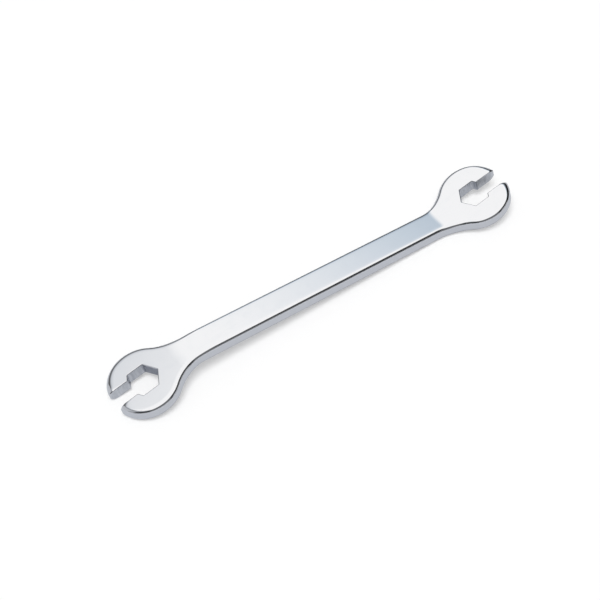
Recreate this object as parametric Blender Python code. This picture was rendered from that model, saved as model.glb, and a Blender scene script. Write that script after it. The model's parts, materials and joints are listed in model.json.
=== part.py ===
"""Brake adjusting wrench: one flat steel forging with an open hexagon jaw at each end.

Lengths are in metres, angles in degrees, +Z up. The bar is first drawn straight along X, with its
edges rounded, and is then bent: the near head (-X) dips below the shank and the far head (+X) rises
above it. Last, it is tilted to lie as it does on a bench, on its near jaw tips and its far bend.
"""

import math

import bmesh
import bpy
from mathutils import Vector

# Driving dimensions
JAW_SPACING = 0.1456  # between the two hexagon centres, along the bar before it is bent
NEAR_SHANK_WIDTH = 0.0117  # the shank tapers from the near neck to the far one
FAR_SHANK_WIDTH = 0.0110
THICKNESS = 0.0052  # of the shank and of both heads
HEAD_DIAMETER = 0.0272
NECK_RADIUS = 0.0190  # hollow between the shank's side and the head
NEAR_ACROSS_FLATS = 0.0110
FAR_ACROSS_FLATS = 0.0100
NEAR_MOUTH_WIDTH = 0.0070  # the slot that lets the jaw pass over a pipe
FAR_MOUTH_WIDTH = 0.0070
EDGE_RADIUS = 0.0012  # rounding along the outer edges, above and below
NEAR_NOSE_EDGE_RADIUS = 0.0018  # the same rounding where it has grown at the end of a jaw
FAR_NOSE_EDGE_RADIUS = 0.0016
NOSE_ANGLE = 40.0  # the stretch of rim, before the jaw's end, on which the rounding grows
NOSE_SETBACK = 0.00055  # how far the rim has come in from the head's circle at the jaw's end
JAW_TIP_RADIUS = 0.0006  # corner between the head's rim and the mouth, seen from above
NEAR_BEND_DISTANCE = 0.0197  # from a hexagon's centre back to its bend
FAR_BEND_DISTANCE = 0.0159
NEAR_BEND_ANGLE = 15.0
FAR_BEND_ANGLE = 15.0
INNER_BEND_RUN = 0.0025  # half the length of the bend on its hollow side
OUTER_BEND_RUN = 0.0065  # half the length of the bend on its bulging side

# Fineness of the round stretches
NECK_STEPS = 10
RIM_STEPS = 36
TIP_STEPS = 4
EDGE_STEPS = 5
BEND_STEPS = 10

STEEL_COLOUR = (0.80, 0.82, 0.85, 1.0)
STEEL_ROUGHNESS = 0.12


class Head:
    """One end of the wrench: which way it points, its jaw, its neck, its nose and its bend."""

    def __init__(
        self, side, across_flats, mouth_width, shank_width, nose_edge_radius, bend_distance, bend_angle
    ):
        self.side = side
        self.corner_radius = across_flats / math.sqrt(3)
        self.half_mouth = mouth_width / 2
        self.half_shank = shank_width / 2
        self.nose_edge_radius = nose_edge_radius
        self.bend_x = JAW_SPACING / 2 - bend_distance  # from the bar's middle to the bend line
        self.bend = math.radians(bend_angle) * side


NEAR_HEAD = Head(
    -1,
    NEAR_ACROSS_FLATS,
    NEAR_MOUTH_WIDTH,
    NEAR_SHANK_WIDTH,
    NEAR_NOSE_EDGE_RADIUS,
    NEAR_BEND_DISTANCE,
    NEAR_BEND_ANGLE,
)
FAR_HEAD = Head(
    1,
    FAR_ACROSS_FLATS,
    FAR_MOUTH_WIDTH,
    FAR_SHANK_WIDTH,
    FAR_NOSE_EDGE_RADIUS,
    FAR_BEND_DISTANCE,
    FAR_BEND_ANGLE,
)


def arc(centre, radius, start, end, steps):
    """Points along a circle from one angle to another, both included."""
    angles = [start + (end - start) * i / steps for i in range(steps + 1)]
    return [(centre[0] + radius * math.cos(a), centre[1] + radius * math.sin(a)) for a in angles]


def smooth_step(share):
    """Climbs from 0 to 1, level at both ends."""
    share = min(max(share, 0), 1)
    return share**2 * (3 - 2 * share)


def rounding(radius, turn):
    """How far an edge's rounding has come in from the side wall and how deep it still is below the
    face, at a turn between the wall (0) and the face (a quarter circle)."""
    return radius * (1 - math.cos(turn)), radius * (1 - math.sin(turn))


def half_head(head, turn):
    """The head's outline on its +Y side, from the neck to the hexagon's inner corner, at one turn of
    the edge's rounding. The points are (u, v, depth): u and v about the hexagon's centre, and the
    depth below the face. Only the rim and the neck are rounded: the jaw's walls stay upright."""
    inset, depth = rounding(EDGE_RADIUS, turn)
    nose_inset, nose_depth = rounding(head.nose_edge_radius, turn)
    radius = HEAD_DIAMETER / 2
    hollow_y = head.half_shank + NECK_RADIUS
    reach = math.sqrt((radius + NECK_RADIUS) ** 2 - hollow_y**2)
    lean = math.atan2(hollow_y, reach)
    neck = arc((-reach, hollow_y), NECK_RADIUS + inset, -math.pi / 2, -lean, NECK_STEPS)
    outline_points = [(u, v, depth) for u, v in neck]

    mouth = head.half_mouth
    tip_y = mouth + JAW_TIP_RADIUS
    tip_x = math.sqrt((radius - NOSE_SETBACK - nose_inset - JAW_TIP_RADIUS) ** 2 - tip_y**2)
    tip_angle = math.atan2(tip_y, tip_x)
    rim_start = math.pi - lean
    for i in range(1, RIM_STEPS + 1):
        angle = rim_start + (tip_angle - rim_start) * i / RIM_STEPS
        nose = smooth_step(1 - (angle - tip_angle) / math.radians(NOSE_ANGLE))
        rim = radius - inset - (NOSE_SETBACK + nose_inset - inset) * nose
        rim_depth = depth + (nose_depth - depth) * nose
        outline_points.append((rim * math.cos(angle), rim * math.sin(angle), rim_depth))
    tip = arc((tip_x, tip_y), JAW_TIP_RADIUS, tip_angle, -math.pi / 2, TIP_STEPS)
    outline_points += [(u, v, nose_depth) for u, v in tip[1:]]

    corner = head.corner_radius
    outline_points.append((corner - mouth / math.sqrt(3), mouth, depth))
    for angle in map(math.radians, (60, 120, 180)):
        outline_points.append((corner * math.cos(angle), corner * math.sin(angle), depth))
    return outline_points


def outline(turn):
    """The whole bar seen from above at one turn of the edge's rounding, as one closed row of points
    (x, y, depth below the face)."""
    points = []
    for head in (FAR_HEAD, NEAR_HEAD):
        half = half_head(head, turn)
        other_half = [(u, -v, depth) for u, v, depth in reversed(half[:-1])]
        # Each head is walked outwards on its left-hand side, so the far head starts at +Y
        # and the near head, which faces the other way, starts at -Y.
        points += [
            (head.side * (JAW_SPACING / 2 + u), head.side * v, depth) for u, v, depth in half + other_half
        ]
    return points


def straight_bar():
    """The unbent bar: rounded outlines stacked, joined into walls and closed above and below."""
    bar = bmesh.new()
    turns = [math.pi / 2 * i / EDGE_STEPS for i in range(EDGE_STEPS + 1)]
    face = THICKNESS / 2
    rows = [[(x, y, depth - face) for x, y, depth in outline(turn)] for turn in reversed(turns)]
    rows += [[(x, y, face - depth) for x, y, depth in outline(turn)] for turn in turns]
    loops = [[bar.verts.new(point) for point in row] for row in rows]
    count = len(loops[0])
    for low, high in zip(loops, loops[1:]):
        for i in range(count):
            j = (i + 1) % count
            bar.faces.new((low[i], low[j], high[j], high[i]))
    bar.faces.new(loops[0])
    bar.faces.new(loops[-1])
    bmesh.ops.recalc_face_normals(bar, faces=bar.faces)
    return bar


def along_bend(head, x):
    """Distance outwards from the head's bend line, negative on the shank."""
    return head.side * x - head.bend_x


def cut_across(bar, head):
    """Cross cuts through the bend, so that it can curve."""
    runs = [OUTER_BEND_RUN * (2 * i / BEND_STEPS - 1) for i in range(BEND_STEPS + 1)]
    runs += [INNER_BEND_RUN * share for share in (-1, -0.5, 0.5, 1)]
    for run in sorted(runs):
        x = head.side * (head.bend_x + run)
        geometry = bar.verts[:] + bar.edges[:] + bar.faces[:]
        bmesh.ops.bisect_plane(bar, geom=geometry, dist=1e-7, plane_co=(x, 0, 0), plane_no=(1, 0, 0))


def bent_skin(head, run, level):
    """Where a point of the upper (level 1) or lower (level -1) face comes to lie, as a vector of the
    distance outwards from the bend line and the height above the bar's middle."""
    square = Vector((0, 1))
    outwards = Vector((math.cos(head.bend), math.sin(head.bend)))
    normal = Vector((-outwards.y, outwards.x))
    half = level * THICKNESS / 2
    reach = INNER_BEND_RUN if level * head.bend > 0 else OUTER_BEND_RUN
    if run <= -reach:
        return Vector((run, half))
    if run >= reach:
        return outwards * run + normal * half
    before = Vector((-reach, half))
    corner = (square + normal) * half / (1 + square.dot(normal))
    after = outwards * reach + normal * half
    t = (run + reach) / (2 * reach)
    return before * (1 - t) ** 2 + corner * 2 * t * (1 - t) + after * t**2


def bend(bar, head):
    """Bends one end of the bar."""
    for vert in bar.verts:
        run = along_bend(head, vert.co.x)
        level = vert.co.z / (THICKNESS / 2)
        upper = bent_skin(head, run, 1)
        lower = bent_skin(head, run, -1)
        place = (upper + lower) / 2 + (upper - lower) / 2 * level
        vert.co.x = head.side * (head.bend_x + place.x)
        vert.co.z = place.y


def rest_tilt(points):
    """Angle about Y that sets the lowest points of both ends at one height."""
    tilt = 0.0
    for _ in range(20):
        turned = [(p.x * math.cos(tilt) + p.z * math.sin(tilt), p) for p in points]
        heights = [(-p.x * math.sin(tilt) + p.z * math.cos(tilt), x) for x, p in turned]
        near_z, near_x = min(h for h in heights if h[1] < 0)
        far_z, far_x = min(h for h in heights if h[1] >= 0)
        tilt += math.atan2(far_z - near_z, far_x - near_x)
    return tilt


def steel():
    material = bpy.data.materials.new("polished_steel")
    material.use_nodes = True
    shader = material.node_tree.nodes["Principled BSDF"]
    shader.inputs["Base Color"].default_value = STEEL_COLOUR
    shader.inputs["Metallic"].default_value = 1.0
    shader.inputs["Roughness"].default_value = STEEL_ROUGHNESS
    return material


def wrench_body():
    """The bent forging as an object, lying on its two contacts with its box centred on the origin."""
    bar = straight_bar()
    for head in (NEAR_HEAD, FAR_HEAD):
        cut_across(bar, head)
    for head in (NEAR_HEAD, FAR_HEAD):
        bend(bar, head)
    mesh = bpy.data.meshes.new("wrench_body")
    bar.to_mesh(mesh)
    bar.free()
    mesh.shade_smooth()
    mesh.set_sharp_from_angle(angle=math.radians(30))
    mesh.materials.append(steel())

    body = bpy.data.objects.new("wrench_body", mesh)
    bpy.context.scene.collection.objects.link(body)
    body.rotation_euler = (0, rest_tilt([v.co for v in mesh.vertices]), 0)
    turn = body.rotation_euler.to_matrix()
    placed = [turn @ v.co for v in mesh.vertices]
    middle = (min(p.x for p in placed) + max(p.x for p in placed)) / 2
    body.location = (-middle, 0, -min(p.z for p in placed))
    return body


for old in list(bpy.data.objects):
    bpy.data.objects.remove(old)
wrench_body()
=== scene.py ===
# %% [markdown]
# # Brake adjusting wrench
# The real tool is one bar of steel: forged flat, broached to an open hexagon at each end, bent so
# that one head dips and the other rises, then polished and chrome plated. This lesson draws it flat,
# with its polished edges, bends it and plates it. Then it builds the small studio in which chrome
# looks like chrome.
#
# The packed CAD model comes first. It fixes the size and the place of everything: the finer wrench
# made here has to lie exactly where the CAD wrench lies.

# %% Load the frame
import json
import math
from collections import namedtuple

import bpy
from mathutils import Matrix, Quaternion, Vector


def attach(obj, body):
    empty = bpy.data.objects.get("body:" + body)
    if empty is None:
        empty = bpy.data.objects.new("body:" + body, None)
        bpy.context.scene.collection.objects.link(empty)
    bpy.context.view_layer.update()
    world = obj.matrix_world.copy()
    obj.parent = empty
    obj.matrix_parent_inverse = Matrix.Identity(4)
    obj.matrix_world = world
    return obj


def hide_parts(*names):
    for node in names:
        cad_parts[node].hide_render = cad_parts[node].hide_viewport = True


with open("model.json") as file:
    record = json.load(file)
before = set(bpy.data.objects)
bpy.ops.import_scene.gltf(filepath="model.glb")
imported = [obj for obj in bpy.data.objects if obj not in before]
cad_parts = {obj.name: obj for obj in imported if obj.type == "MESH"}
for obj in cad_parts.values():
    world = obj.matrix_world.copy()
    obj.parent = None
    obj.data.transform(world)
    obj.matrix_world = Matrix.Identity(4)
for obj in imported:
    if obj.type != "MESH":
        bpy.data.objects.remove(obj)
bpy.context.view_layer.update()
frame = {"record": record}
bpy.ops.object.select_all(action="DESELECT")

# %% [markdown]
# ## Sizes of the bar
# Lengths are in metres. Both heads have the same outside. They differ in the hexagon they hold, in
# the width of the shank at their neck, in the distance to their bend, and in how far the polishing has
# worn down the ends of their jaws. The near head points to -X.

# %% Named sizes
HALF_SPACING = 0.0728  # from the middle of the bar to a hexagon's centre, before the bends
THICKNESS = 0.0052
HEAD_RADIUS = 0.0136
NECK_RADIUS = 0.0190  # hollow between shank and head
HALF_MOUTH = 0.0035
TIP_RADIUS = 0.0006  # corner between the rim and the mouth, seen from above
NOSE_ANGLE = math.radians(55)  # the last stretch of rim, which leaves the head's circle
NOSE_SETBACK = 0.0007  # how far it has come in at the jaw's end

# nose_growth says how many times wider the polished edge has become at the jaw's end.
Head = namedtuple("Head", "side across_flats half_shank bend_distance nose_growth")
NEAR_HEAD = Head(-1, 0.0110, 0.00585, 0.0197, 1.5)
FAR_HEAD = Head(1, 0.0100, 0.00550, 0.0159, 1.92)
HEADS = (NEAR_HEAD, FAR_HEAD)
HALF_MIDDLE = (NEAR_HEAD.half_shank + FAR_HEAD.half_shank) / 2  # half the shank's width at its middle
print("shank at its middle, mm:", round(2000 * HALF_MIDDLE, 2), "by", 1000 * THICKNESS)

# %% [markdown]
# ## A pencil made of operators
# By hand, an outline like this is drawn with two tools: Extrude pulls a straight edge out of the
# selected vertex, and Spin sweeps that vertex round a centre. The pencil below wraps the two and
# remembers where its last vertex is. It works in the head's own measures: u runs outwards from the
# hexagon's centre and v across, so one set of moves draws either head.

# %% The pencil
class Pencil:
    """Draws a chain of edges at one height. Its last vertex stays selected."""

    def __init__(self, side, u, v, height):
        self.side = side
        self.place = self.spot(u, v, height)
        # A small plane that is merged at its centre becomes the first vertex.
        bpy.ops.mesh.select_all(action="DESELECT")
        bpy.ops.mesh.primitive_plane_add(size=TIP_RADIUS, location=self.place)
        bpy.ops.mesh.merge(type="CENTER")

    def spot(self, u, v, height):
        return Vector((self.side * (HALF_SPACING + u), v, height))

    def line(self, u, v):
        step = self.spot(u, v, self.place.z) - self.place
        bpy.ops.mesh.extrude_region_move(TRANSFORM_OT_translate={"value": step})
        self.place += step

    def arc(self, u, v, turn, steps):
        """Sweeps round the centre (u, v), anticlockwise for a positive turn of the far head."""
        centre = self.spot(u, v, self.place.z)
        turn *= self.side
        bpy.ops.mesh.spin(steps=steps, angle=-turn, center=centre, axis=(0, 0, 1))
        self.place = centre + Matrix.Rotation(turn, 3, "Z") @ (self.place - centre)


print("a pencil can:", [name for name in vars(Pencil) if not name.startswith("__")])

# %% [markdown]
# ## Contour lines
# The rounding along the edges is what makes chrome look solid, because all the dark and bright lines
# sit in it. A slack polishing belt doesn't leave a quarter circle: the face turns down gently at
# first, then more and more, and meets the side wall in a corner. It also takes more off the ends of
# the jaws, while the hexagon keeps a nearly sharp edge. A bevel can't do that. So the bar is drawn as
# a map maker draws a hill: one contour line for each depth below the face. Every line has the same
# number of points, so the lines can be bridged into a skin afterwards.

# %% How far an edge stands back
POLISH_WIDTH = 0.0024  # from the side wall to where the face is flat
POLISH_DROP = 0.0014  # what the polishing takes off the corner
POLISH_POWER = 5.0  # the higher, the later the face turns down


def polished_back(growth, depth):
    """How far the polished edge stands back from its wall, at a depth below the face."""
    share = min(depth / POLISH_DROP, 1)
    return growth * POLISH_WIDTH * (1 - share ** (1 / POLISH_POWER))


def rounded_back(radius, depth):
    """The same for a plain quarter round."""
    rise = max(radius - depth, 0)
    return radius - math.sqrt(radius**2 - rise**2)


print("the face stands back, mm:", round(1000 * polished_back(1, 0), 2))

# %% [markdown]
# Half a contour of a head is one walk of the pencil. It starts at the middle of the shank, follows
# the neck's hollow and the rim, and turns round the jaw's tip. The nose is an arc that leaves the rim
# smoothly and comes in a little more with every degree.

# %% The outside of a head
TIP_POLISH = 0.35  # share of the polishing that also rounds the jaw's tip
NECK_STEPS, RIM_STEPS, NOSE_STEPS, TIP_STEPS = 24, 40, 32, 10


def draw_outside(head, depth, jaw):
    """Draws from the middle of the shank to the mouth, which stands back by jaw."""
    edge = polished_back(1, depth)
    nose = NOSE_SETBACK + polished_back(head.nose_growth, depth)
    hollow_v = head.half_shank + NECK_RADIUS
    reach = math.sqrt((HEAD_RADIUS + NECK_RADIUS) ** 2 - hollow_v**2)
    lean = math.atan2(hollow_v, reach)
    pencil = Pencil(head.side, -HALF_SPACING, HALF_MIDDLE - edge, THICKNESS / 2 - depth)
    pencil.line(-reach, head.half_shank - edge)
    pencil.arc(-reach, hollow_v, math.pi / 2 - lean, NECK_STEPS)

    nose_start = NOSE_ANGLE + math.asin(HALF_MOUTH / HEAD_RADIUS)
    shift = (nose - edge) / (1 - math.cos(NOSE_ANGLE))
    shift_u, shift_v = shift * math.cos(nose_start), shift * math.sin(nose_start)
    tip_radius = TIP_RADIUS + TIP_POLISH * (nose - NOSE_SETBACK)
    tip_v = HALF_MOUTH + jaw + tip_radius
    tip_reach = HEAD_RADIUS - edge - shift - tip_radius
    tip_u = shift_u + math.sqrt(tip_reach**2 - (tip_v - shift_v) ** 2)
    tip_angle = math.atan2(tip_v - shift_v, tip_u - shift_u)
    pencil.arc(0, 0, nose_start - (math.pi - lean), RIM_STEPS)
    pencil.arc(shift_u, shift_v, tip_angle - nose_start, NOSE_STEPS)
    pencil.arc(tip_u, tip_v, -math.pi / 2 - tip_angle, TIP_STEPS)
    return pencil


print("steps round the outside:", NECK_STEPS + RIM_STEPS + NOSE_STEPS + TIP_STEPS)

# %% [markdown]
# From the tip the walk goes in along the mouth, turns the corner into the hexagon, and follows its
# flats to the far corner, with a small arc in each corner. That last corner lies on the bar's middle
# line, so only half of its arc is drawn.

# %% The jaw
JAW_ROUNDING = 0.0003
HEXAGON_CORNER = 0.0004
NIB_CORNER = 0.0003  # where the mouth opens into the hexagon
SIXTH = math.radians(60)
CORNER_STEPS = 4


def draw_jaw(pencil, head, jaw):
    """Draws on from the tip to the hexagon's far corner. All walls stand back by jaw."""
    corner = head.across_flats / math.sqrt(3) + jaw / math.cos(SIXTH / 2)
    nib_u = corner - (HALF_MOUTH + jaw) / math.sqrt(3) + NIB_CORNER * math.tan(SIXTH / 2)
    pencil.line(nib_u, HALF_MOUTH + jaw)
    pencil.arc(nib_u, HALF_MOUTH + jaw + NIB_CORNER, -SIXTH, CORNER_STEPS)
    centre = corner - HEXAGON_CORNER / math.sin(SIXTH)
    for turn, share in ((1, 1), (2, 1), (3, 0.5)):
        u, v = centre * math.cos(turn * SIXTH), centre * math.sin(turn * SIXTH)
        start = (turn - 0.5) * SIXTH
        pencil.line(u + HEXAGON_CORNER * math.cos(start), v + HEXAGON_CORNER * math.sin(start))
        pencil.arc(u, v, share * SIXTH, int(share * CORNER_STEPS))


def draw_half_head(head, depth):
    """Draws the +Y half of a head's contour at a depth below the face."""
    jaw = rounded_back(JAW_ROUNDING, depth)
    draw_jaw(draw_outside(head, depth, jaw), head, jaw)


print("mouth, mm:", 2000 * HALF_MOUTH, "hexagons, mm:", [1000 * head.across_flats for head in HEADS])

# %% [markdown]
# The first contour lies on the face, and the last one at half the thickness, where the side walls are
# upright. The others are placed by slope, from one degree to the steepest, so that each turns the
# light by a similar step. Only a quarter of the bar is drawn, above its middle plane and on its +Y
# side. Mirrors make the rest.

# %% Draw all contours
SNAP = 1e-6  # closer than this, two places are one
SLOPE_STEPS = 15
flattest = math.radians(1)
steepest = math.atan(POLISH_POWER * POLISH_DROP / POLISH_WIDTH)
slopes = [flattest + (steepest - flattest) * i / SLOPE_STEPS for i in range(SLOPE_STEPS + 1)]
shares = [(math.tan(slope) / math.tan(steepest)) ** (1 / (POLISH_POWER - 1)) for slope in slopes]
depths = [0] + [POLISH_DROP * share**POLISH_POWER for share in shares] + [THICKNESS / 2]

# The plane is only a way to start a mesh: its vertices go at once.
bpy.ops.mesh.primitive_plane_add(size=TIP_RADIUS)
wrench = bpy.context.object
wrench.name = wrench.data.name = "chromed_wrench"
bpy.ops.object.mode_set(mode="EDIT")
bpy.ops.mesh.delete(type="VERT")
for depth in depths:
    for head in HEADS:
        draw_half_head(head, depth)
bpy.ops.mesh.select_all(action="SELECT")
bpy.ops.mesh.remove_doubles(threshold=SNAP)
bpy.ops.mesh.bridge_edge_loops()
bpy.ops.object.mode_set(mode="OBJECT")
print("contours:", len(depths), "skin faces:", len(wrench.data.polygons))

# %% [markdown]
# ## Close the top
# The highest contour is filled with one face. Blender's operators act on what is selected, so a
# helper selects the vertices or faces that pass a test, and nothing else.

# %% Fill the top
def select(piece, kind, wanted):
    """Selects the VERT or FACE elements that pass a test, and goes to edit mode."""
    bpy.ops.object.mode_set(mode="EDIT")
    bpy.ops.mesh.select_mode(type=kind)
    bpy.ops.mesh.select_all(action="DESELECT")
    bpy.ops.object.mode_set(mode="OBJECT")
    elements = piece.data.vertices if kind == "VERT" else piece.data.polygons
    for element in elements:
        element.select = wanted(element)
    bpy.ops.object.mode_set(mode="EDIT")


select(wrench, "VERT", lambda vertex: vertex.co.z > THICKNESS / 2 - SNAP)
bpy.ops.mesh.edge_face_add()
bpy.ops.object.mode_set(mode="OBJECT")
print("the top face has", max(len(face.vertices) for face in wrench.data.polygons), "corners")

# %% [markdown]
# ## Cross cuts
# A face can only bend where it has edges. Bisect cuts the bar across at a row of stations through
# each bend. They lie close together, because the hollow side of a bend turns within a few millimetres.

# %% Cut across the bends
HOLLOW_RUN = 0.0032  # half the length of the bend on its hollow side
BULGE_RUN = 0.0066  # half the length of the bend on its bulging side
CUT_STEP = 0.0004

cuts = math.ceil(BULGE_RUN / CUT_STEP)
bpy.ops.object.mode_set(mode="EDIT")
for head in HEADS:
    for i in range(-cuts, cuts + 1):
        x = head.side * (HALF_SPACING - head.bend_distance + CUT_STEP * i)
        bpy.ops.mesh.select_all(action="SELECT")
        bpy.ops.mesh.bisect(plane_co=(x, 0, 0), plane_no=(1, 0, 0), threshold=SNAP)
bpy.ops.object.mode_set(mode="OBJECT")
print("faces after the cuts:", len(wrench.data.polygons))

# %% [markdown]
# ## Mirror the quarter
# A Mirror modifier makes the other side and the lower half. Its merge distance is set far below the
# spacing of the contours, which would otherwise melt together.

# %% Mirror across and down
mirror = wrench.modifiers.new("other_quarters", "MIRROR")
mirror.use_axis = (False, True, True)
mirror.merge_threshold = SNAP
bpy.ops.object.modifier_apply(modifier=mirror.name)
bpy.ops.object.mode_set(mode="EDIT")
bpy.ops.mesh.select_all(action="SELECT")
bpy.ops.mesh.normals_make_consistent(inside=False)
bpy.ops.object.mode_set(mode="OBJECT")
print("faces of the whole bar:", len(wrench.data.polygons))

# %% [markdown]
# ## The two finishes
# The polishing belt doesn't reach into the jaws, so their walls are a little duller and keep the
# broach's fine lines. They are easiest to pick now, while they still stand upright: everything inside
# the hexagon or the mouth that doesn't face up or down.

# %% Give the jaw walls a slot of their own
UPRIGHT = 0.1  # a wall's normal rises or falls by less than this

for name in ("chrome_plate", "broached_chrome_with_painted_shade"):
    wrench.data.materials.append(bpy.data.materials.new(name))


def is_jaw_wall(face):
    u, v = abs(face.center.x) - HALF_SPACING, abs(face.center.y)
    in_mouth = u > 0 and v < HALF_MOUTH + SNAP
    in_hexagon = math.hypot(u, v) < max(head.across_flats for head in HEADS) / math.sqrt(3)
    return abs(face.normal.z) < UPRIGHT and (in_mouth or in_hexagon)


select(wrench, "FACE", is_jaw_wall)
wrench.active_material_index = 1
bpy.ops.object.material_slot_assign()
bpy.ops.object.mode_set(mode="OBJECT")
print("jaw wall faces:", sum(face.material_index == 1 for face in wrench.data.polygons))

# %% [markdown]
# ## Bend it
# A forging is bent in a press: its hollow side folds sharply and its bulging side stretches round in a
# long curve. A Simple Deform bend would treat both sides alike. A lattice is better: a cage whose
# upper points follow the upper face's curve and whose lower points follow the lower one's.

# %% The curve of each face
BEND_ANGLE = math.radians(15)
UP = Vector((0, 1))


def head_directions(head):
    """The head's outward and upward directions, as vectors of distance and height."""
    bend = BEND_ANGLE * head.side
    return Vector((math.cos(bend), math.sin(bend))), Vector((-math.sin(bend), math.cos(bend)))


def face_curve(head, run, level):
    """Where a point of the upper (1) or lower (-1) face comes to lie, outwards from the bend and up."""
    outwards, normal = head_directions(head)
    half = level * THICKNESS / 2
    reach = HOLLOW_RUN if level * head.side > 0 else BULGE_RUN
    if run <= -reach:
        return Vector((run, half))
    if run >= reach:
        return outwards * run + normal * half
    share = (run + reach) / (2 * reach)
    start, end = Vector((-reach, half)), outwards * reach + normal * half
    corner = (UP + normal) * half / (1 + UP.dot(normal))
    return start * (1 - share) ** 2 + corner * 2 * share * (1 - share) + end * share**2


def bent_place(head, run, level):
    """The same for any level between the faces."""
    upper, lower = face_curve(head, run, 1), face_curve(head, run, -1)
    return (upper + lower) / 2 + (upper - lower) / 2 * level


far_lift = bent_place(FAR_HEAD, FAR_HEAD.bend_distance, 0).y
print("the bend lifts the far hexagon by, mm:", round(1000 * far_lift, 2))

# %% [markdown]
# The cage spans one bend and its head, with a single row of points across. Its points move to where
# the two curves put them, and the Lattice modifier takes the bar along.

# %% The cage
CAGE_POINTS = 64  # the most that a lattice may have in one direction
CAGE_LAYERS = 4
CAGE_MARGIN = 0.0012


def bend_head(head):
    """Bends one end of the bar with a lattice that reaches from the shank to beyond the nose."""
    first = -BULGE_RUN - CAGE_MARGIN
    last = head.bend_distance + HEAD_RADIUS + CAGE_MARGIN
    bend_x = HALF_SPACING - head.bend_distance
    bpy.ops.object.add(type="LATTICE", location=(head.side * (bend_x + (first + last) / 2), 0, 0))
    cage = bpy.context.object
    cage.scale = (last - first, HEAD_RADIUS, THICKNESS)
    cage.data.points_u, cage.data.points_v, cage.data.points_w = CAGE_POINTS, 1, CAGE_LAYERS
    cage.data.interpolation_type_u = "KEY_CATMULL_ROM"
    cage.data.interpolation_type_w = "KEY_LINEAR"
    bpy.context.view_layer.update()
    for point in cage.data.points:
        straight = cage.matrix_world @ point.co
        place = bent_place(head, head.side * straight.x - bend_x, 2 * straight.z / THICKNESS)
        bent = Vector((head.side * (bend_x + place.x), 0, place.y))
        point.co_deform = cage.matrix_world.inverted() @ bent

    bpy.ops.object.select_all(action="DESELECT")
    wrench.select_set(True)
    bpy.context.view_layer.objects.active = wrench
    press = wrench.modifiers.new("press", "LATTICE")
    press.object = cage
    bpy.ops.object.modifier_apply(modifier=press.name)
    bpy.data.objects.remove(cage)


for head in HEADS:
    bend_head(head)
print("bent bar, mm:", [round(1000 * size, 2) for size in wrench.dimensions])

# %% [markdown]
# ## Lay it down
# The bent bar was drawn round its own middle. The packed record says where the shank's upper face
# lies and which way it looks, so the tilt and the place of the wrench are taken from there.

# %% Tilt and place
def find_mount(name):
    """One of the record's mounts."""
    return next(mount for mount in frame["record"]["mounts"] if mount["name"] == name)


shank_top = find_mount("shank_upper_face")
shank_up = Vector(shank_top["axis"])
shank_tilt = math.atan2(shank_up.x, shank_up.z)
wrench.rotation_euler.y = shank_tilt
wrench.location = Vector(shank_top["pos_m"]) - shank_up * THICKNESS / 2
bpy.ops.object.transform_apply(location=True, rotation=True, scale=True)
print("lowest point, mm:", round(1000 * min(vertex.co.z for vertex in wrench.data.vertices), 3))

# %% [markdown]
# ## Smooth shading
# Smooth by angle keeps the jaw's edges crisp. The Weighted Normal modifier then lets the large flat
# faces win over the slim ones in the roundings, so that flats reflect like flats.

# %% Shade it
SMOOTH_ANGLE = math.radians(35)

bpy.ops.object.shade_smooth_by_angle(angle=SMOOTH_ANGLE)
weighted = wrench.modifiers.new("flat_faces_lead", "WEIGHTED_NORMAL")
weighted.keep_sharp = True
bpy.ops.object.modifier_apply(modifier=weighted.name)
print("triangles:", sum(len(face.vertices) - 2 for face in wrench.data.polygons))

# %% [markdown]
# ## Shader maths as Python
# Materials are trees of nodes. A wire is one output of a node: adding or multiplying wires adds the
# Math nodes, and every other node comes from one method.

# %% Wires
class Wire:
    """One output of a shader node. Arithmetic on wires adds Math nodes."""

    def __init__(self, tree, socket=None):
        self.tree, self.socket = tree, socket

    def node(self, kind, settings=None, inputs=None, output=0):
        """Adds a node with its settings, then gives its inputs a value or a wire."""
        made = self.tree.nodes.new("ShaderNode" + kind)
        for name, value in (settings or {}).items():
            setattr(made, name, value)
        for name, value in (inputs or {}).items():
            if isinstance(value, Wire):
                self.tree.links.new(value.socket, made.inputs[name])
            else:
                made.inputs[name].default_value = value
        return Wire(self.tree, made.outputs[output] if made.outputs else None)

    def maths(self, operation, first, second):
        return self.node("Math", {"operation": operation}, {0: first, 1: second})

    def __add__(self, other):
        return self.maths("ADD", self, other)

    def __sub__(self, other):
        return self.maths("SUBTRACT", self, other)

    def __rsub__(self, other):
        return self.maths("SUBTRACT", other, self)

    def __mul__(self, other):
        return self.maths("MULTIPLY", self, other)

    __radd__, __rmul__ = __add__, __mul__

    def rise(self, low, high):
        """Climbs smoothly from 0 to 1 while this wire goes from low to high."""
        return self.node(
            "MapRange",
            {"interpolation_type": "SMOOTHSTEP"},
            {"Value": self, "From Min": low, "From Max": high},
        )

    def blend(self, first, second):
        """Mixes two colours: the first where this wire is 0, the second where it is 1."""
        return self.node("Mix", {"data_type": "RGBA"}, {0: self, 6: first, 7: second}, output=2)


def bare_tree(owner):
    """Empties the node tree of a material or world and returns a wire that can add nodes to it."""
    owner.use_nodes = True
    owner.node_tree.nodes.clear()
    return Wire(owner.node_tree)


print("a wire can:", [name for name in vars(Wire) if not name.startswith("__")])

# %% [markdown]
# ## Chrome plate
# Chrome has almost no colour of its own: a faint cool tint, and whatever stands around it. What tells
# it from a computer's perfect mirror is what the polishing wheel leaves. Long faint strokes run along
# the bar, the surface is never quite flat, so reflections swim a little, and a haze of handling makes
# some places a touch duller.

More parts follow.
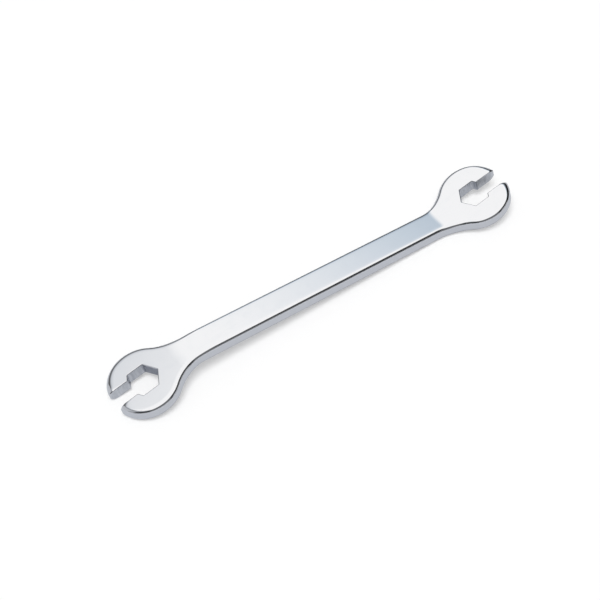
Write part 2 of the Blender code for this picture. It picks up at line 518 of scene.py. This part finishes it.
# %% The polished finish
CHROME_BRIGHT = (0.902, 0.902, 0.914, 1)
CHROME_COOL = (0.855, 0.865, 0.885, 1)
COOL_SHARE = 0.3  # how far the haze and the strokes go towards the cool tint
STROKES, SWELL, HAZE = (60, 1600, 1600), 90, 240  # how fine each pattern is, per metre
STROKE_HEIGHT, SWELL_HEIGHT = 0.0000004, 0.000004
HAZE_RANGE = (0.45, 0.75)  # the part of its noise in which the haze builds up
PLAIN_ROUGHNESS, HAZE_ROUGHNESS, STROKE_ROUGHNESS = 0.05, 0.04, 0.02  # they add up


def polished_chrome(material):
    tree = bare_tree(material)
    place = tree.node("TexCoord", output="Object")
    along = place.node("Mapping", inputs={"Vector": place, "Scale": STROKES})
    strokes = place.node("TexNoise", inputs={"Vector": along, "Scale": 1, "Detail": 3})
    swell = place.node("TexNoise", inputs={"Vector": place, "Scale": SWELL, "Detail": 1})
    cloud = place.node("TexNoise", inputs={"Vector": place, "Scale": HAZE, "Detail": 4})
    haze = cloud.rise(*HAZE_RANGE)
    height = strokes * STROKE_HEIGHT + swell * SWELL_HEIGHT
    relief = place.node("Bump", inputs={"Height": height, "Distance": 1.0, "Strength": 1.0})
    finish = place.node(
        "BsdfPrincipled",
        inputs={
            "Base Color": (haze * COOL_SHARE + strokes * COOL_SHARE).blend(CHROME_BRIGHT, CHROME_COOL),
            "Metallic": 1.0,
            "Roughness": PLAIN_ROUGHNESS + haze * HAZE_ROUGHNESS + strokes * STROKE_ROUGHNESS,
            "Normal": relief,
        },
    )
    place.node("OutputMaterial", inputs={"Surface": finish})


polished_chrome(wrench.data.materials[0])
print("nodes in the polished finish:", len(wrench.data.materials[0].node_tree.nodes))

# %% [markdown]
# ## Broached walls, with painted shade
# A broach is a long toothed bar that is pushed through the jaw. It leaves straight fine lines through
# the thickness, which the plating follows. On the tilted heads these lines lean with the head, so the
# pattern is turned with a Mapping node before it is stretched along the cut. Shade is also painted
# into the walls' colour: they are a little darker inside the hexagon than in the mouth, and darkest
# at its back and on the nib where the mouth opens.
# The heads lie parallel, so one turned X axis measures both: the record's jaw faces give the two
# hexagon centres on it, and the distance outwards from the nearer one says where a point lies.

# %% The broached finish, with painted shade
BROACH_BRIGHT, BROACH_DARK = (0.97, 0.97, 0.975, 1), (0.72, 0.73, 0.75, 1)
# Painted shade: the walls' colours where the hexagon's back, its inside and the nib are shaded
PAINTED_SHADE_BRIGHT, PAINTED_SHADE_DARK = (0.52, 0.53, 0.57, 1), (0.25, 0.265, 0.31, 1)
BROACH_LINES, BROACH_HEIGHT = (5000, 5000, 300), 0.000004
STREAK_RANGE = (0.35, 0.7)  # the part of the lines' noise that turns from dark to bright
WALL_ROUGHNESS, LINE_ROUGHNESS = 0.16, 0.12  # they add up
# Where the painted shade changes, outwards from a hexagon's centre
BACK_ENDS = (-0.0034, -0.0026)
HEXAGON_ENDS = (0.0024, 0.0030)
NIB_STARTS, NIB_ENDS = (0.0027, 0.0033), (0.0038, 0.0045)
HEXAGON_PAINTED_SHADE, NIB_PAINTED_SHADE = 0.22, 0.75  # how dark they are, next to the back's 1
head_tilt = shank_tilt - BEND_ANGLE


def along_heads(mount_name):
    """Where a mount lies along the turned X axis."""
    x, _, z = find_mount(mount_name)["pos_m"]
    return x * math.cos(head_tilt) - z * math.sin(head_tilt)


near_centre, far_centre = along_heads("near_jaw_flat_front"), along_heads("far_jaw_flat_front")


def broached_chrome_with_painted_shade(material):
    tree = bare_tree(material)
    place = tree.node("TexCoord", output="Object")
    upright = place.node("Mapping", inputs={"Vector": place, "Rotation": (0, -head_tilt, 0)})
    through = place.node("Mapping", inputs={"Vector": upright, "Scale": BROACH_LINES})
    lines = place.node("TexNoise", inputs={"Vector": through, "Scale": 1, "Detail": 2})
    height = lines * BROACH_HEIGHT
    relief = place.node("Bump", inputs={"Height": height, "Distance": 1.0, "Strength": 1.0})
    along = place.node("SeparateXYZ", inputs={0: upright}, output="X")
    from_middle = place.maths("ABSOLUTE", along - (near_centre + far_centre) / 2, 0)
    outwards = from_middle - (far_centre - near_centre) / 2
    # Painted shade by place: full at the hexagon's back, a little inside it, and much on the nib
    back = 1 - outwards.rise(*BACK_ENDS)
    inside = 1 - outwards.rise(*HEXAGON_ENDS)
    nib = outwards.rise(*NIB_STARTS) * (1 - outwards.rise(*NIB_ENDS))
    painted_shade = back + inside * HEXAGON_PAINTED_SHADE + nib * NIB_PAINTED_SHADE
    streak = lines.rise(*STREAK_RANGE)
    # The broach streaks in shaded and in plain colours; the painted shade picks between them
    painted_shade_colour = streak.blend(PAINTED_SHADE_DARK, PAINTED_SHADE_BRIGHT)
    wall_colour = streak.blend(BROACH_DARK, BROACH_BRIGHT)
    finish = place.node(
        "BsdfPrincipled",
        inputs={
            "Base Color": painted_shade.blend(wall_colour, painted_shade_colour),
            "Metallic": 1.0,
            "Roughness": WALL_ROUGHNESS + lines * LINE_ROUGHNESS,
            "Normal": relief,
        },
    )
    place.node("OutputMaterial", inputs={"Surface": finish})


broached_chrome_with_painted_shade(wrench.data.materials[1])
print("heads lean by", round(math.degrees(head_tilt), 1), "degrees")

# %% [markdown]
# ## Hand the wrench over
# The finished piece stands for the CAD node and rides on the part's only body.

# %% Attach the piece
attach(wrench, "root")
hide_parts("wrench_body")
print("pieces:", wrench.name)

# %% [markdown]
# ## A white floor
# The tool lies on a white table. Its paint is grey, and where the camera or a reflection looks at it,
# it also glows: the lit paint and the glow make white together. The shadow darkens the paint alone,
# so it stays pale, as it does in a bright studio.

# %% Floor
FLOOR_PAINT = (0.62, 0.62, 0.62, 1)
FLOOR_GLOW = 0.38
FLOOR_SIZE = 60


def looked_at(tree):
    """1 for a ray from the camera, a reflection or glass, and 0 for one that gathers light."""
    kinds = ("Is Camera Ray", "Is Glossy Ray", "Is Transmission Ray")
    camera_ray, glossy_ray, glass_ray = (tree.node("LightPath", output=kind) for kind in kinds)
    return camera_ray + glossy_ray + glass_ray


bpy.ops.mesh.primitive_plane_add(size=FLOOR_SIZE)
floor = bpy.context.object
floor.name = "floor"
floor.data.materials.append(bpy.data.materials.new("white_table"))
tree = bare_tree(floor.data.materials[0])
paint = tree.node("BsdfDiffuse", inputs={"Color": FLOOR_PAINT})
glow = tree.node("Emission", inputs={"Strength": looked_at(tree) * FLOOR_GLOW})
both = tree.node("AddShader", inputs={0: paint, 1: glow})
tree.node("OutputMaterial", inputs={"Surface": both})
print("floor:", floor.dimensions.x, "m wide")

# %% [markdown]
# ## White sky
# A chrome tool shows its surroundings and nothing else, so photographers build them. The first is a
# white sky overhead, which is the world. It is white wherever it is seen, and gives the table a part
# of its light.

# %% Sky
SKY_LIGHT = 0.38  # what the sky adds to the light on the table

world = bpy.data.worlds.new("studio")
bpy.context.scene.world = world
tree = bare_tree(world)
strength = SKY_LIGHT + looked_at(tree) * (1 - SKY_LIGHT)
sky = tree.node("Background", inputs={"Color": (1, 1, 1, 1), "Strength": strength})
tree.node("OutputWorld", inputs={"Surface": sky})
print("nodes in the sky:", len(world.node_tree.nodes))

# %% [markdown]
# ## Dark cards
# Cards all round draw the dark lines along the tool's edges. They stand in a ring and look at the
# tool. Each is solid up to one height and has faded out at another, so that its reflection ends
# softly, and it can turn from a bottom colour to a top colour on the way. The low, paler cards stand
# nearer and lighten the upper face when it is seen from a low angle. The nose, tip and crescent cards
# stand nearest, and each shapes one reflection on the heads. Only reflections see the cards: the
# camera doesn't, and they neither shade nor tint the table.

# %% The ring of cards
CARD_HEIGHT = 9.0
TURN_SPREAD = 0.2  # the colours mix over this share of the turning height, below it and above
COOL_TINT = (1, 1.03, 1.09)


def cool(level):
    """A faintly blue grey."""
    return (*(level * tint for tint in COOL_TINT), 1)


# Azimuth 0 is the front and 90 the right.
Card = namedtuple("Card", "name azimuth distance width solid_to clear_from turns_at bottom top")
CARDS = (
    Card("front_card", -5, 3.0, 9.0, 2.5, 3.7, 1.0, cool(0.20), cool(0.11)),
    Card("front_right_card", 55, 3.0, 9.0, 3.1, 4.5, 1.0, cool(0.12), cool(0.025)),
    Card("right_card", 100, 3.0, 9.0, 2.0, 4.7, 3.0, cool(0.04), (0.05, 0.24, 0.43, 1)),
    Card("back_card", 212, 3.0, 9.0, 2.5, 5.6, 3.75, cool(0.10), (0.28, 0.34, 0.42, 1)),
    Card("low_front_right_card", 50, 2.6, 1.4, 0.60, 0.85, 1.0, cool(0.30), cool(0.30)),
    Card("low_back_right_card", 131, 2.6, 1.8, 0.60, 0.85, 1.0, cool(0.28), cool(0.28)),
    Card("low_back_card", 189, 2.6, 2.1, 0.9, 1.2, 1.0, cool(0.36), cool(0.36)),
    Card("nose_card", 232, 2.0, 1.5, 1.95, 2.15, 1.0, cool(0.52), cool(0.52)),
    Card("tip_card", 252, 1.9, 0.9, 2.2, 2.4, 2.0, cool(0.50), cool(0.04)),
    Card("left_card", 262, 3.0, 9.0, 4.3, 6.0, 1.0, cool(0.36), cool(0.36)),
    Card("front_left_card", 300, 3.0, 9.0, 2.1, 3.2, 1.0, cool(0.07), cool(0.04)),
    Card("crescent_card", 90, 2.0, 1.6, 1.9, 2.25, 0.5, cool(0.07), cool(0.01)),
)


def hang(card):
    """Stands a card in the ring, facing the tool."""
    turn = math.radians(card.azimuth)
    spot = (card.distance * math.sin(turn), -card.distance * math.cos(turn), CARD_HEIGHT / 2)
    bpy.ops.mesh.primitive_plane_add(size=1, location=spot)
    plane = bpy.context.object
    plane.name = card.name
    plane.scale = (card.width, CARD_HEIGHT, 1)
    plane.rotation_euler = (math.pi / 2, 0, turn)
    bpy.ops.object.transform_apply(location=True, rotation=True, scale=True)
    plane.visible_camera = plane.visible_diffuse = plane.visible_shadow = False
    plane.data.materials.append(bpy.data.materials.new(card.name))
    tree = bare_tree(plane.data.materials[0])
    place = tree.node("TexCoord", output="Object")
    height = place.node("SeparateXYZ", inputs={0: place}, output="Z")
    turned = height.rise((1 - TURN_SPREAD) * card.turns_at, (1 + TURN_SPREAD) * card.turns_at)
    solid = place.node("Emission", inputs={"Color": turned.blend(card.bottom, card.top)})
    clear = place.node("BsdfTransparent")
    faded = height.rise(card.solid_to, card.clear_from)
    both = place.node("MixShader", inputs={0: faded, 1: solid, 2: clear})
    place.node("OutputMaterial", inputs={"Surface": both})


for card in CARDS:
    hang(card)
print("cards:", [card.name for card in CARDS])

# %% [markdown]
# One more card lies flat under the tool. On a white table the side walls would mirror white and melt
# into it. A blue-grey sheet, which only reflections can see, keeps them apart from the table.

# %% The sheet under the tool
SHEET_GREY = (0.53, 0.55, 0.59, 1)
SHEET_SIZE, SHEET_LIFT = 1.0, 0.00002  # just above the table

bpy.ops.mesh.primitive_plane_add(size=SHEET_SIZE, location=(0, 0, SHEET_LIFT))
sheet = bpy.context.object
sheet.name = "grey_sheet"
sheet.visible_camera = sheet.visible_diffuse = sheet.visible_shadow = sheet.visible_transmission = False
sheet.data.materials.append(bpy.data.materials.new("grey_sheet"))
tree = bare_tree(sheet.data.materials[0])
paint = tree.node("BsdfDiffuse", inputs={"Color": SHEET_GREY})
tree.node("OutputMaterial", inputs={"Surface": paint})
print("sheet:", sheet.dimensions.x, "m wide")

# %% [markdown]
# ## One soft lamp
# A lamp high above, a little to the front and the left, does the rest of the lighting. It is a Sun
# lamp, which lights the whole table evenly, and its wide angle makes the shadow soft. It is kept out
# of reflections.

# %% Lamp
LAMP_SHARE = 0.64  # what the lamp adds to the light on the table
LAMP_FROM = Vector((-0.23, -0.26, 0.94)).normalized()
LAMP_ANGLE = math.radians(32)

bpy.ops.object.light_add(type="SUN", location=LAMP_FROM)
lamp = bpy.context.object
lamp.name = "soft_lamp"
lamp.data.angle = LAMP_ANGLE
lamp.data.energy = LAMP_SHARE * math.pi / LAMP_FROM.z
lamp.rotation_euler = LAMP_FROM.to_track_quat("Z", "Y").to_euler()
lamp.visible_glossy = False
print("lamp strength:", round(lamp.data.energy, 2))

# %% [markdown]
# ## Camera
# The picture was taken from above the near side with a long lens. The numbers were found by fitting
# the outline of the bar to the picture, in a square frame.

# %% Camera
AIM = Vector((-0.00803, -0.00187, 0.00541))
DISTANCE = 0.70340
AZIMUTH, ELEVATION, ROLL = (math.radians(angle) for angle in (-31.928, 49.016, -4.093))
SENSOR_WIDTH, LENS = 36, 118.586  # in millimetres

bpy.ops.object.camera_add()
camera = bpy.context.object
camera.name = "camera"
camera.data.sensor_width = SENSOR_WIDTH
camera.data.lens = LENS
back = Vector((
    math.sin(AZIMUTH) * math.cos(ELEVATION),
    -math.cos(AZIMUTH) * math.cos(ELEVATION),
    math.sin(ELEVATION),
))
camera.location = AIM + back * DISTANCE
camera.rotation_mode = "QUATERNION"
camera.rotation_quaternion = back.to_track_quat("Z", "Y") @ Quaternion((0, 0, 1), ROLL)
bpy.context.scene.camera = camera
bpy.context.scene.view_settings.view_transform = "Standard"
print("camera at", [round(value, 3) for value in camera.location])

# %% [markdown]
